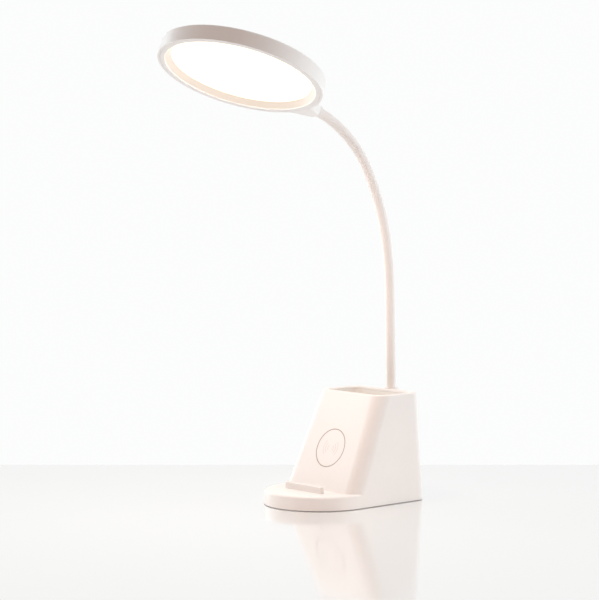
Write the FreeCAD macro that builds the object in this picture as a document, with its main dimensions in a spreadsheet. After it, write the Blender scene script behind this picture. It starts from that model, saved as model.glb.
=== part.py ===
import FreeCAD, Part
import math
import os
import re

import Sketcher
from FreeCAD import Placement, Rotation, Vector

# Desk lamp: a base with a phone ledge, a charging ring and a pen cup, a gooseneck and a round light head.
# X is to the right, Y to the back, Z up. The origin is the middle of the foot, on the desk.

SIZES = [
    ("BodyDepth", 108, "line where the slope meets the desk to the back wall"),
    ("SlopeFoot", 47, "front of the foot to the line where the slope meets the desk"),
    ("SlopeWidth", 112, "body width at the slope's foot, at the desk"),
    ("BackWidth", 103.8, "body width at the back, at the desk"),
    ("BodyHeight", 109, "desk to the rim of the cup"),
    ("LedgeHeight", 14.3, "desk to the top of the ledge"),
    ("SlopeAngle", 23.3, "slope from the vertical, degrees"),
    ("BackLean", 1.95, "back wall from the vertical, degrees"),
    ("SideLean", 3.15, "side walls from the vertical, degrees"),
    ("FrontRound", 14, "rounding between the slope and the sides"),
    ("BackRound", 12, "rounding of the back corners"),
    ("LedgeRound", 2.2, "rounding of the foot's top edge"),
    ("RimRound", 1.4, "rounding of the deck's outer edge"),
    ("Wall", 2.4, "wall of the base shell"),
    ("DeckThick", 3, "wall of the deck round the cup"),
    ("Overrun", 2, "extra length of every cutting shape"),
    ("LipLength", 56, "phone lip, side to side"),
    ("LipThick", 4, "phone lip, front to back"),
    ("LipHeight", 7, "phone lip above the ledge"),
    ("LipRound", 1.2, "rounding of the lip's top edge"),
    ("LipEndShare", 0.49, "rounding of the lip's ends, share of its thickness"),
    ("PhoneGap", 15.1, "from the lip to the slope, on the ledge"),
    ("CupRim", 5, "deck's outer edge to the cup's inner wall, front and sides"),
    ("CupBackRim", 9, "deck's back edge to the cup's inner wall"),
    ("CupWall", 1.6, "wall of the pen cup"),
    ("CupRound", 10, "rounding of the cup's inner corners"),
    ("CupFloor", 24, "desk to the underside of the pen cup"),
    ("CupLean", 1, "draft of the cup's walls, degrees"),
    ("CupEdge", 1.8, "rounding of the edge round the cup's opening"),
    ("CupFoot", 2, "rounding of the cup's floor edges"),
    ("ColumnWall", 2.6, "wall of the arm's half-round column round the socket"),
    ("ColumnBehind", 1.7, "arm's axis behind the deck's back edge"),
    ("ShelfHeight", 30, "desk to the underside of the column's shelf"),
    ("ShelfThick", 4, "shelf that carries the arm socket"),
    ("NeckFit", 0.15, "gap between the gooseneck and the socket's bore"),
    ("SocketWall", 1.05, "wall of the arm socket"),
    ("SocketFit", 0.1, "gap round the socket"),
    ("SocketDrop", 2, "socket's top below the deck"),
    ("TailWall", 1.9, "wall of the socket's threaded tail"),
    ("TailLength", 14, "threaded tail below the socket's floor"),
    ("SocketFloor", 4, "floor of the socket"),
    ("WasherRim", 2.6, "rim of the arm washer"),
    ("WasherThick", 1, "arm washer"),
    ("NutWall", 1.5, "wall of the arm nut at its flats"),
    ("NutThick", 5, "arm nut"),
    ("CollarWall", 1.6, "wall of the ring round the arm on the deck"),
    ("CollarHeight", 0.8, "ring round the arm on the deck"),
    ("PadThick", 0.7, "anti-slip pad"),
    ("PadInset", 3, "pad in from the shell's outside"),
    ("PlateThick", 2.2, "bottom plate"),
    ("PlateFit", 0.3, "gap round the bottom plate"),
    ("BossWall", 2.15, "wall of the screw bosses of the shell"),
    ("BossTall", 20, "height of the two rear bosses"),
    ("BossSideInset", 5.4, "boss centres in from the sides"),
    ("BossFrontInset", 21, "front bosses back from the foot's front"),
    ("BossFrontHalf", 26, "front bosses from the middle"),
    ("BossBackInset", 20, "rear bosses in from the back"),
    ("ScrewRadius", 1.45, "shank of the base screws"),
    ("ScrewHeadRim", 1.25, "rim of the base screws' heads"),
    ("ScrewHeadThick", 1.1, "head of the base screws"),
    ("ScrewBite", 7, "shank of the base screws, under the head"),
    ("ScrewFit", 0.1, "gap round a screw"),
    ("HeadSink", 1.2, "depth of the recess for a screw's head in the bottom plate"),
    ("HeadFit", 0.3, "gap round a screw's head"),
    ("BiteSpare", 0.4, "screw holes deeper than their screws"),
    ("CupPostWall", 2.2, "wall of the posts under the pen cup"),
    ("CupPostSide", 32, "posts under the pen cup from the middle"),
    ("CupPostTop", 2.5, "top wall of the posts under the pen cup"),
    ("CupPostFit", 0.4, "gap round a screw's head in the posts under the pen cup"),
    ("CupFloorThick", 2.2, "floor of the pen cup"),
    ("WeightMargin", 9, "counterweight beyond its screws, to each side"),
    ("WeightDepth", 52, "counterweight"),
    ("WeightThick", 7.5, "counterweight"),
    ("WeightAhead", 14, "middle of the counterweight ahead of the origin"),
    ("WeightScrewHalf", 30, "counterweight screws from the middle"),
    ("RingHeight", 54.6, "desk to the middle of the charging ring"),
    ("RingRadius", 19.8, "middle line of the charging ring"),
    ("RingWidth", 0.9, "charging ring"),
    ("RingDepth", 0.8, "charging ring's groove"),
    ("RingProud", 0.1, "charging ring above the slope"),
    ("CoilOuter", 22, "charging coil, outer radius"),
    ("CoilInner", 10, "charging coil, inner radius"),
    ("CoilThick", 1.2, "charging coil"),
    ("CoilGap", 0.2, "gap between the slope's wall and the coil"),
    ("FerriteMargin", 1.5, "ferrite sheet beyond the coil"),
    ("FerriteThick", 1, "ferrite sheet"),
    ("HolderMargin", 4.5, "coil holder beyond its screws"),
    ("HolderThick", 2.5, "coil holder"),
    ("HolderCornerOut", 2, "holder screws beyond the ferrite sheet, both ways"),
    ("HolderPost", 3, "posts between the holder and the charger board"),
    ("PostWall", 1.7, "wall of the posts for small screws"),
    ("SmallScrew", 0.9, "shank of the small screws"),
    ("SmallHeadRim", 1, "rim of the small screws' heads"),
    ("SmallHeadThick", 1.1, "head of the small screws"),
    ("SmallBite", 4.2, "shank of the small screws, under the head"),
    ("BoardThick", 1.6, "circuit boards"),
    ("ChargerWide", 52, "charger board"),
    ("ChargerTall", 38, "charger board"),
    ("ChipSide", 7, "charger chip"),
    ("ChipThick", 1.1, "charger chip"),
    ("ControlWide", 62, "control board"),
    ("ControlDeep", 24, "control board"),
    ("ControlInset", 17, "middle of the control board ahead of the back wall"),
    ("ControlRise", 4, "control board above the bottom plate"),
    ("ControlHole", 2.8, "board holes in from the board's edges"),
    ("InletWide", 9, "power inlet"),
    ("InletTall", 3.3, "power inlet"),
    ("InletDeep", 8, "power inlet"),
    ("InletSide", 18, "power inlet from the middle, to the right"),
    ("InletWall", 0.35, "power inlet's metal shell"),
    ("InletFit", 0.25, "gap round the power inlet"),
    ("InletRoundShare", 0.45, "rounding of the power inlet, share of its height"),
    ("InletFloor", 1, "closed end of the power inlet"),
    ("TongueSide", 1.3, "tongue in from the inlet's sides"),
    ("TongueThick", 0.7, "tongue in the power inlet"),
    ("TongueShort", 1, "tongue's end behind the inlet's mouth"),
    ("TouchWide", 22, "touch sensor board"),
    ("TouchDeep", 10, "touch sensor board"),
    ("TouchThick", 0.9, "touch sensor board"),
    ("TouchFront", 12, "middle of the touch board behind the foot's front"),
    ("SleeveWall", 1.7, "wall of the gooseneck's sleeve"),
    ("NeckPitch", 44, "gooseneck's segments, along the axis"),
    ("NeckRise", 10, "first joint of the gooseneck above the deck"),
    ("NeckLean", 1.4, "first segment from the vertical, degrees"),
    ("NeckTurnC", 6.5, "bend along the third segment, degrees"),
    ("NeckTurnD", 11, "bend along the fourth segment, degrees"),
    ("NeckTurnE", 10, "bend along the fifth segment, degrees"),
    ("NeckTurnF", 20.6, "bend along the sixth segment, degrees"),
    ("NeckTurnG", 16.7, "bend along the seventh segment, degrees"),
    ("HoseWall", 1.6, "wall of the metal hose in the sleeve"),
    ("HoseFit", 0.1, "gap between hose and sleeve"),
    ("LeadFit", 0.35, "gap round the lead in the hose"),
    ("LeadRadius", 1.25, "lead in the hose"),
    ("GrooveHalf", 0.9, "half of the groove at each joint of the sleeve"),
    ("BallFit", 0.33, "gap between the balls and the sleeve's ends"),
    ("FunnelStep", 1.2, "wide mouth of the bore in each ball beyond the bore"),
    ("LeadGapHalf", 0.35, "half of the gap between two lead segments"),
    ("FerruleWall", 1, "collar ring beyond the sleeve"),
    ("FerruleLength", 4, "collar ring at the head's neck"),
    ("SwivelFit", 0.05, "running gap of the head's swivel"),
    ("SwivelGap", 0.3, "gap between the collar ring and the head's neck"),
    ("SpigotWall", 1, "wall of the swivel spigot"),
    ("SpigotLength", 11, "swivel spigot beyond the collar ring"),
    ("SwivelWall", 4, "end wall of the head's neck"),
    ("SwivelWasherRim", 1.2, "rim of the swivel washer"),
    ("SwivelWasherThick", 0.6, "swivel washer"),
    ("SwivelNutWall", 0.7, "wall of the swivel nut at its flats"),
    ("SwivelNutThick", 3, "swivel nut"),
    ("SwivelRoomFit", 0.2, "gap round the swivel washer in the head's neck"),
    ("FaceRim", 6.8, "flat rim of the head's face"),
    ("PlateGap", 1.6, "gap between the backing plate and the housing"),
    ("HeadNeck", 24.5, "end of the gooseneck to the disc's edge"),
    ("HeadRoll", 6.1, "head turned on its swivel in the photographed pose, degrees"),
    ("HeadWall", 2.4, "wall of the head housing"),
    ("HeadRound", 2.4, "rounding of the housing's back edge"),
    ("NeckRootHalf", 21, "half-width of the neck at the disc"),
    ("NeckEndWall", 2.6, "side walls of the head's neck at its end"),
    ("NeckRoof", 1.1, "head's neck above the room for the nut"),
    ("NeckFloor", 3, "head's neck below the room for the nut, at its end"),
    ("NeckRound", 3, "rounding of the neck's long edges"),
    ("BezelFit", 0.2, "gap between housing and bezel"),
    ("LightRing", 5.5, "sloping ring round the light"),
    ("LightRadius", 69.5, "visible radius of the light"),
    ("RecessDepth", 6, "light's depth behind the face"),
    ("BezelWall", 1.8, "wall of the bezel"),
    ("BezelTall", 8, "height of the bezel's outer flange"),
    ("DiffuserThick", 1.6, "diffuser"),
    ("DiffuserLap", 1.5, "diffuser behind the bezel"),
    ("GuideThick", 2.6, "light guide"),
    ("ReflectorThick", 0.4, "reflector sheet"),
    ("StripThick", 0.8, "LED strip"),
    ("StripTall", 2.6, "LED strip"),
    ("StripGap", 1.4, "gap between the light guide and the LED strip"),
    ("LampThick", 0.9, "LED emitters, along the radius"),
    ("LampWide", 3.4, "LED emitters, along the strip"),
    ("LampTall", 1.4, "LED emitters, along the height"),
    ("BackplateThick", 1, "backing plate"),
    ("BackplateEdge", 2.8, "backing plate beyond its screws"),
    ("PlateScrewOut", 2, "backing plate's screws beyond the LED strip"),
    ("TinyBite", 2, "shank of the backing plate's screws"),
    ("TinyRadius", 0.8, "shank of the backing plate's screws"),
    ("TinyHead", 1.5, "head of the backing plate's screws"),
    ("TinyHeadThick", 0.7, "head of the backing plate's screws"),
    ("TinyBoss", 2, "bosses for the backing plate's screws, radius"),
    ("TinyFit", 0.05, "gap round a backing plate's screw"),
    ("NeckSink", 5, "head's neck runs into the disc"),
    ("LeadTail", 3, "lead's end beyond the socket and the spigot"),
]
# Sizes that follow from the ones above
FOLLOWS = {
    "FootDepth": "SlopeFoot + BodyDepth",
    "HoseBore": "LeadRadius + LeadFit",
    "HoseRadius": "HoseBore + HoseWall",
    "NeckRadius": "HoseRadius + HoseFit + SleeveWall",
    "FunnelRadius": "HoseBore + FunnelStep",
    "FerruleRadius": "NeckRadius + FerruleWall",
    "SocketBore": "NeckRadius + NeckFit",
    "ColumnRadius": "SocketBore + SocketWall + SocketFit + ColumnWall",
    "CollarRadius": "SocketBore + CollarWall",
    "TailRadius": "HoseBore + TailWall",
    "WasherRadius": "TailRadius + WasherRim",
    "NutAcross": "2 * (TailRadius + NutWall)",
    "ScrewHead": "ScrewRadius + ScrewHeadRim",
    "BossRadius": "ScrewRadius + BossWall",
    "SmallHead": "SmallScrew + SmallHeadRim",
    "PostRadius": "SmallScrew + PostWall",
    "CupPostBore": "SmallHead + CupPostFit",
    "CupPostRadius": "CupPostBore + CupPostWall",
    "WeightWidth": "2 * (WeightScrewHalf + WeightMargin)",
    "FerriteSide": "2 * (CoilOuter + FerriteMargin)",
    "HolderCorner": "FerriteSide / 2 + HolderCornerOut",
    "HolderSide": "2 * (HolderCorner + HolderMargin)",
    "InletRound": "InletTall * InletRoundShare",
    "TongueWide": "InletWide - 2 * TongueSide",
    "SpigotRadius": "HoseBore + SpigotWall",
    "SwivelWasher": "SpigotRadius + SwivelWasherRim",
    "SwivelNut": "2 * (SpigotRadius + SwivelNutWall)",
    "SwivelRoom": "SwivelWasher + SwivelRoomFit",
    "NeckEndHalf": "SwivelRoom + NeckEndWall",
    "NeckEndUp": "SwivelRoom + NeckRoof",
    "NeckEndDown": "SwivelRoom + NeckFloor",
    "HeadBelow": "HeadThick - NeckEndUp",
    "FaceRadius": "LightRadius + LightRing",
    "HeadRadius": "FaceRadius + FaceRim",
    "DiffuserRadius": "LightRadius + DiffuserLap",
    "StripInner": "DiffuserRadius + StripGap",
    "PlateScrewCircle": "StripInner + StripThick + PlateScrewOut",
    "BackplateRadius": "PlateScrewCircle + BackplateEdge",
    "LightBack": "RecessDepth + DiffuserThick + GuideThick + ReflectorThick",
    "HeadThick": "LightBack + BackplateThick + PlateGap + HeadWall",
}
LAMP_COUNT = 40
PLATE_SCREW_COUNT = 6
# Lengths closer than this share of the body's height count as equal
SAME_SHARE = 0.00001
HEXAGON_SIDE_COUNT = 6

doc = FreeCAD.newDocument("desk_lamp")
sheet = doc.addObject("Spreadsheet::Sheet", "Sizes")
for row, (alias, size, note) in enumerate(SIZES, start=1):
    sheet.set("A%d" % row, alias)
    sheet.set("B%d" % row, str(size))
    sheet.set("C%d" % row, note)
    sheet.setAlias("B%d" % row, alias)
doc.recompute()

nodes = {}


def bound(text):
    """The expression with each size's name pointing at the sheet."""
    def place(name):
        follows = FOLLOWS.get(name.group())
        return "(%s)" % bound(follows) if follows else "Sizes." + name.group()

    return re.sub(r"\b[A-Z]\w*", place, text)


def value(text):
    """The number that an expression in named sizes gives."""
    return float(sheet.evalExpression(bound(text)))


def bind(item, **texts):
    """Bind properties of a document object to expressions in named sizes."""
    for name, text in texts.items():
        item.setExpression(name.replace("__", "."), bound(text))


def node(item, name):
    """Enter a finished piece under the name of its file."""
    item.Label = name
    nodes[name] = item
    return item


# Sketches, with every point and radius bound to named sizes

def new_body(name):
    return doc.addObject("PartDesign::Body", name)


def sketch(body, name, height="0", plane="XY_Plane"):
    made = body.newObject("Sketcher::SketchObject", name)
    made.AttachmentSupport = [(item, "") for item in body.Origin.OriginFeatures if item.Role == plane]
    made.MapMode = "FlatFace"
    made.setExpression("AttachmentOffset.Base.z", bound(height))
    return made


def pin(made, line, corner, x, y):
    """Hold one point of a sketch at a place given in named sizes."""
    for kind, text in (("DistanceX", x), ("DistanceY", y)):
        number = made.addConstraint(Sketcher.Constraint(kind, -1, 1, line, corner, value(text)))
        made.setExpression("Constraints[%d]" % number, bound(text))


def outline(made, points):
    """A closed polygon."""
    places = [Vector(value(x), value(y), 0) for x, y in points]
    first = made.GeometryCount
    for start, end in zip(places, places[1:] + places[:1]):
        made.addGeometry(Part.LineSegment(start, end), False)
    for index, (x, y) in enumerate(points):
        before = first + (index - 1) % len(points)
        made.addConstraint(Sketcher.Constraint("Coincident", before, 2, first + index, 1))
        pin(made, first + index, 1, x, y)


def rectangle(made, x_low, y_low, x_high, y_high):
    outline(made, [(x_low, y_low), (x_high, y_low), (x_high, y_high), (x_low, y_high)])


def circle(made, radius, x="0", y="0"):
    place = Vector(value(x), value(y), 0)
    line = made.addGeometry(Part.Circle(place, Vector(0, 0, 1), value(radius)), False)
    number = made.addConstraint(Sketcher.Constraint("Radius", line, value(radius)))
    made.setExpression("Constraints[%d]" % number, bound(radius))
    pin(made, line, 3, x, y)


def pad(body, profile, length):
    made = body.newObject("PartDesign::Pad", profile.Name + "Pad")
    made.Profile = profile
    bind(made, Length=length)
    return made


def spin(body, profile):
    """Turn a profile that was drawn in the XZ plane about Z."""
    made = body.newObject("PartDesign::Revolution", profile.Name + "Turn")
    made.Profile = profile
    made.ReferenceAxis = (profile, ["V_Axis"])
    return made


def fillet(body, radius, test):
    """Round the edges of the body's last feature that pass the test."""
    doc.recompute()
    base = body.Tip
    names = ["Edge%d" % number for number, edge in enumerate(base.Shape.Edges, start=1) if test(edge)]
    if not names:
        raise RuntimeError("no edge to round on " + body.Name)
    made = body.newObject("PartDesign::Fillet", base.Name + "Round")
    made.Base = (base, names)
    bind(made, Radius=radius)
    return made


def middle(edge):
    return edge.valueAt((edge.FirstParameter + edge.LastParameter) / 2)


def rises(edge):
    """True for an edge between two heights."""
    box = edge.BoundBox
    return box.ZLength > max(box.XLength, box.YLength)


def lies_at(height):
    """A test for edges that lie flat at a height given in named sizes."""
    level = value(height)
    near = value("BodyHeight") * SAME_SHARE

    def test(edge):
        box = edge.BoundBox
        return abs(box.ZMin - level) < near and abs(box.ZMax - level) < near

    return test


# Primitives and booleans

def spot(x, y, z):
    """A place given in named sizes."""
    return Placement(Vector(value(x), value(y), value(z)), Rotation())


def cylinder(name, radius, length, place):
    made = doc.addObject("Part::Cylinder", name)
    bind(made, Radius=radius, Height=length)
    made.Placement = place
    return made


def block(name, x_size, y_size, z_size, place):
    """A box whose place is the middle of its lowest face."""
    made = doc.addObject("Part::Box", name)
    bind(made, Length=x_size, Width=y_size, Height=z_size)
    made.Placement = place * spot("-(%s) / 2" % x_size, "-(%s) / 2" % y_size, "0")
    return made


def hexagon(name, across, length, place):
    made = doc.addObject("Part::Prism", name)
    made.Polygon = HEXAGON_SIDE_COUNT
    bind(made, Circumradius="(%s) / 2 / cos(30)" % across, Height=length)
    made.Placement = place
    return made


def group(name, items):
    made = doc.addObject("Part::Compound", name)
    made.Links = items
    return made


def fuse(name, items):
    made = doc.addObject("Part::MultiFuse", name)
    made.Shapes = items
    made.Refine = True
    return made


def cut(name, base, tools):
    made = doc.addObject("Part::Cut", name)
    made.Base = base
    made.Tool = tools[0] if len(tools) == 1 else fuse(name + "_tools", tools)
    return made


def tube(name, outer, inner, length, place):
    """A ring or sleeve; its bore runs past both ends."""
    through = place * spot("0", "0", "-Overrun")
    bore = cylinder(name + "_bore", inner, "(%s) + 2 * Overrun" % length, through)
    return cut(name, cylinder(name + "_outside", outer, length, place), [bore])


def screw(name, radius, bite, head, head_thick, place):
    """A screw whose shank runs along its frame's Z, from the underside of the head."""
    shank = cylinder(name + "_shank", radius, bite, place)
    cap = cylinder(name + "_head", head, head_thick, place * spot("0", "0", "-(%s)" % head_thick))
    return fuse(name, [shank, cap])


def base_screw(name, place):
    return screw(name, "ScrewRadius", "ScrewBite", "ScrewHead", "ScrewHeadThick", place)


def small_screw(name, place):
    return screw(name, "SmallScrew", "SmallBite", "SmallHead", "SmallHeadThick", place)


# The body's surfaces: each gives a place at a height, moved in by an inset

SLOPE_START = "(SlopeFoot - FootDepth / 2)"
SIDE_SLANT = "((SlopeWidth - BackWidth) / 2 / BodyDepth)"
SIDE_SCALE = "sqrt(1 + %s ^ 2)" % SIDE_SLANT
SHELL_LOW = "PadThick"
PLATE_TOP = "(PadThick + PlateThick)"


def slope_y(height, inset="0"):
    return "(%s + (%s) * tan(SlopeAngle) + (%s) / cos(SlopeAngle))" % (SLOPE_START, height, inset)


def back_y(height, inset="0"):
    return "(FootDepth / 2 - (%s) * tan(BackLean) - (%s) / cos(BackLean))" % (height, inset)


def side_x(y, height, inset="0"):
    leaning = "((%s) * tan(SideLean) + (%s)) * %s" % (height, inset, SIDE_SCALE)
    slant = "((%s) - %s) * %s" % (y, SLOPE_START, SIDE_SLANT)
    return "(SlopeWidth / 2 - %s - %s)" % (leaning, slant)


def tower_section(made, height, inset="0"):
    front = slope_y(height, inset)
    back = back_y(height, inset)
    wide = side_x(front, height, inset)
    narrow = side_x(back, height, inset)
    outline(made, [("-" + wide, front), (wide, front), (narrow, back), ("-" + narrow, back)])


def footprint(made, height, inset, back):
    """Straight sides to the back, and in front an arc that runs on from both sides."""
    front = "(-FootDepth / 2 + (%s) * tan(SideLean) + (%s))" % (height, inset)
    radius = "(%s / (%s + %s))" % (side_x(front, height, inset), SIDE_SCALE, SIDE_SLANT)
    centre = "(%s + %s)" % (front, radius)
    side = "(%s / %s)" % (radius, SIDE_SCALE)
    join = "(%s + %s * %s / %s)" % (centre, radius, SIDE_SLANT, SIDE_SCALE)
    rear = side_x(back, height, inset)
    corners = [(side, join), (rear, back), ("-" + rear, back), ("-" + side, join)]
    places = [Vector(value(x), value(y), 0) for x, y in corners]
    for start, end in zip(places, places[1:]):
        made.addGeometry(Part.LineSegment(start, end), False)
    turn = math.atan(value(SIDE_SLANT))
    whole = Part.Circle(Vector(0, value(centre), 0), Vector(0, 0, 1), value(radius))
    arc = made.addGeometry(Part.ArcOfCircle(whole, math.pi - turn, 2 * math.pi + turn), False)
    for line in (1, 2):
        made.addConstraint(Sketcher.Constraint("Coincident", line - 1, 2, line, 1))
    made.addConstraint(Sketcher.Constraint("Coincident", 2, 2, arc, 1))
    made.addConstraint(Sketcher.Constraint("Coincident", arc, 2, 0, 1))
    for line, (x, y) in enumerate(corners[:3]):
        pin(made, line, 1, x, y)
    pin(made, 2, 2, *corners[3])
    number = made.addConstraint(Sketcher.Constraint("Radius", arc, value(radius)))
    made.setExpression("Constraints[%d]" % number, bound(radius))


def cup_section(made, grow, drop="0"):
    """The cup's inner outline, grown outward, at a depth below the rim."""
    rim = "BodyHeight"
    leaning = "(%s) * tan(CupLean)" % drop
    front = "(%s + CupRim - (%s) + %s)" % (slope_y(rim), grow, leaning)
    back = "(%s - CupBackRim + (%s) - %s)" % (back_y(rim), grow, leaning)
    wide = "(%s - CupRim + (%s) - %s)" % (side_x(front, rim), grow, leaning)
    narrow = "(%s - CupRim + (%s) - %s)" % (side_x(back, rim), grow, leaning)
    outline(made, [("-" + wide, front), (wide, front), (narrow, back), ("-" + narrow, back)])


LEFT, RIGHT = Vector(-1, 0, 0), Vector(1, 0, 0)
FRONT, BACK = Vector(0, -1, 0), Vector(0, 1, 0)
UP, DOWN = Vector(0, 0, 1), Vector(0, 0, -1)


def faces_to(shape, direction):
    """Names of the faces that look more or less in a direction."""
    names = []
    for number, face in enumerate(shape.Faces, start=1):
        low_u, high_u, low_v, high_v = face.ParameterRange
        normal = face.normalAt((low_u + high_u) / 2, (low_v + high_v) / 2)
        if normal.dot(direction) > math.cos(math.pi / 4):
            names.append("Face%d" % number)
    return names


def lean(body, angle, direction, outward=False, neutral=DOWN):
    """Lean the faces on one side inward with their distance from the neutral face, or outward."""
    doc.recompute()
    base = body.Tip
    made = body.newObject("PartDesign::Draft", base.Name + "Lean")
    made.Base = (base, faces_to(base.Shape, direction))
    made.NeutralPlane = (base, faces_to(base.Shape, neutral))
    made.Reversed = outward
    bind(made, Angle=angle)
    return made


def tower(name, low, high, inset):
    """The body above the desk, with its four upright edges rounded."""
    body = new_body(name)
    section = sketch(body, name + "_section", low)
    tower_section(section, low, inset)
    pad(body, section, "(%s) - (%s)" % (high, low))
    lean(body, "SlopeAngle", FRONT)
    lean(body, "BackLean", BACK)
    lean(body, "SideLean", RIGHT)
    lean(body, "SideLean", LEFT)
    parting = value("(%s + %s) / 2" % (slope_y("BodyHeight / 2"), back_y("BodyHeight / 2")))
    fillet(body, "FrontRound - (%s)" % inset, lambda edge: rises(edge) and middle(edge).y < parting)
    fillet(body, "BackRound - (%s)" % inset, lambda edge: rises(edge) and middle(edge).y > parting)
    return body


def foot(name, low, high, inset):
    """The foot with its round front."""
    body = new_body(name)
    section = sketch(body, name + "_outline", low)
    footprint(section, low, inset, "0")
    pad(body, section, "(%s) - (%s)" % (high, low))
    lean(body, "SideLean", RIGHT)
    lean(body, "SideLean", LEFT)
    lean(body, "SideLean", FRONT)
    return body


def sheet_piece(name, low, thick, inset):
    """A flat piece under the whole base, with an ear under the arm's column."""
    body = new_body(name + "_sheet")
    rear = back_y(low, inset)
    section = sketch(body, name + "_outline", low)
    footprint(section, low, inset, rear)
    pad(body, section, thick)
    fillet(body, "BackRound - (%s)" % inset, lambda edge: rises(edge) and middle(edge).y > 0)
    ear = cylinder(name + "_ear", "ColumnRadius - (%s)" % inset, thick, spot("0", COLUMN_Y, low))
    return fuse(name + "_whole", [body, ear])


def cup_solid(name, low, high, grow):
    """A solid with the cup's leaning walls and round corners."""
    body = new_body(name)
    section = sketch(body, name + "_section", low)
    cup_section(section, grow, "BodyHeight - (%s)" % low)
    pad(body, section, "(%s) - (%s)" % (high, low))
    for side in (LEFT, RIGHT, FRONT, BACK):
        lean(body, "CupLean", side, outward=True)
    fillet(body, "CupRound + (%s)" % grow, rises)
    fillet(body, "CupFoot + (%s)" % grow, lies_at(low))
    return body


def on_cup_rim(edge):
    """True for an edge round the cup's opening in the deck."""
    place = middle(edge)
    front = value(slope_y("BodyHeight") + " + CupRim / 2")
    back = value(back_y("BodyHeight") + " - CupBackRim / 2")
    side = value(side_x("(%r)" % place.y, "BodyHeight") + " - CupRim / 2")
    return lies_at("BodyHeight")(edge) and front < place.y < back and abs(place.x) < side


# Base shell

COLUMN_Y = "(%s + ColumnBehind)" % back_y("BodyHeight")
SCREW_HEAD_Z = "(PadThick + HeadSink)"
SOCKET_LOW = "(ShelfHeight + ShelfThick)"
BOSS_BACK_Y = "(FootDepth / 2 - BossBackInset)"
BOSS_BACK_X = "(%s - BossSideInset)" % side_x(BOSS_BACK_Y, "0")
BOSS_FRONT_Y = "(BossFrontInset - FootDepth / 2)"
CONTROL_Y = "(FootDepth / 2 - ControlInset)"
CONTROL_Z = "(%s + ControlRise)" % PLATE_TOP
INLET_Z = "(%s + BoardThick + InletTall / 2)" % CONTROL_Z

body_outer = tower("body_outer", SHELL_LOW, "BodyHeight", "0")
fillet(body_outer, "RimRound", lies_at("BodyHeight"))
opening = cup_solid("cup_opening", "BodyHeight - 2 * DeckThick", "BodyHeight + Overrun", "0")
deck = new_body("deck")
deck.BaseFeature = cut("open_body", body_outer, [opening])
fillet(deck, "CupEdge", on_cup_rim)

foot_outer = foot("foot_outer", SHELL_LOW, "LedgeHeight", "0")
fillet(foot_outer, "LedgeRound", lambda edge: lies_at("LedgeHeight")(edge) and middle(edge).y < 0)

lip = new_body("phone_lip")
lip_outline = sketch(lip, "lip_outline", "LedgeHeight - Wall / 2")
LIP_BACK = "(%s - PhoneGap)" % slope_y("LedgeHeight")
rectangle(lip_outline, "-LipLength / 2", LIP_BACK + " - LipThick", "LipLength / 2", LIP_BACK)
pad(lip, lip_outline, "LipHeight + Wall / 2")
fillet(lip, "LipThick * LipEndShare", rises)
fillet(lip, "LipRound", lies_at("LedgeHeight + LipHeight"))

column = new_body("arm_column")
column_outline = sketch(column, "column_outline", SHELL_LOW)
circle(column_outline, "ColumnRadius", "0", COLUMN_Y)
pad(column, column_outline, "BodyHeight - PadThick")
fillet(column, "RimRound", lies_at("BodyHeight"))

body_room = tower("body_room", "0", "BodyHeight - DeckThick", "Wall")
foot_room = foot("foot_room", "0", "LedgeHeight - Wall", "Wall")
column_room = cylinder("column_room", "ColumnRadius - Wall", "ShelfHeight", spot("0", COLUMN_Y, "0"))
hollow = cut("hollow_body", fuse("closed_body", [deck, foot_outer, lip, column]),
             [body_room, foot_room, column_room])

slope_frame = spot("0", slope_y("RingHeight"), "RingHeight")
slope_frame.Rotation = Rotation(RIGHT, math.degrees(math.pi / 2) - value("SlopeAngle"))
HOLDER_TOP = "-(Wall + CoilGap + CoilThick + FerriteThick)"
CHARGER_TOP = "(%s - HolderThick - HolderPost)" % HOLDER_TOP
HOLDER_SIDES = ("-HolderCorner", "HolderCorner")
HOLDER_CORNERS = [(x, y) for x in HOLDER_SIDES for y in HOLDER_SIDES]
BASE_SCREWS = [("-" + BOSS_BACK_X, BOSS_BACK_Y), (BOSS_BACK_X, BOSS_BACK_Y),
               ("-BossFrontHalf", BOSS_FRONT_Y), ("BossFrontHalf", BOSS_FRONT_Y)]
WEIGHT_SCREWS = [("-WeightScrewHalf", "-WeightAhead"), ("WeightScrewHalf", "-WeightAhead")]

added = []
carved = []
for number, (x, y) in enumerate(BASE_SCREWS):
    top = "BossTall" if y == BOSS_BACK_Y else "LedgeHeight - Wall / 2"
    tall = "%s - %s" % (top, PLATE_TOP)
    added.append(cylinder("boss_%d" % number, "BossRadius", tall, spot(x, y, PLATE_TOP)))
    hole = "%s + ScrewBite + BiteSpare" % SCREW_HEAD_Z
    carved.append(cylinder("boss_hole_%d" % number, "ScrewRadius + ScrewFit", hole, spot(x, y, "0")))
for number, (x, y) in enumerate(HOLDER_CORNERS):
    foot_of_post = slope_frame * spot(x, y, HOLDER_TOP)
    tall = "CoilGap + CoilThick + FerriteThick + Wall / 2"
    added.append(cylinder("holder_post_%d" % number, "PostRadius", tall, foot_of_post))
    hole = "SmallBite - HolderThick + BiteSpare"
    carved.append(cylinder("holder_hole_%d" % number, "SmallScrew + ScrewFit", hole, foot_of_post))
core_low = spot("0", COLUMN_Y, "ShelfHeight")
added.append(cylinder("column_core", "ColumnRadius - RimRound", "BodyHeight - ShelfHeight", core_low))
carved.append(cylinder("socket_room", "SocketBore + SocketWall + SocketFit", "BodyHeight",
                       spot("0", COLUMN_Y, SOCKET_LOW)))
carved.append(cylinder("tail_hole", "TailRadius + SocketFit", "BodyHeight", spot("0", COLUMN_Y, "0")))
groove_place = slope_frame * spot("0", "0", "-RingDepth")
carved.append(tube("ring_groove", "RingRadius + RingWidth / 2 + SwivelFit",
                   "RingRadius - RingWidth / 2 - SwivelFit", "RingDepth + Overrun", groove_place))


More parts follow.
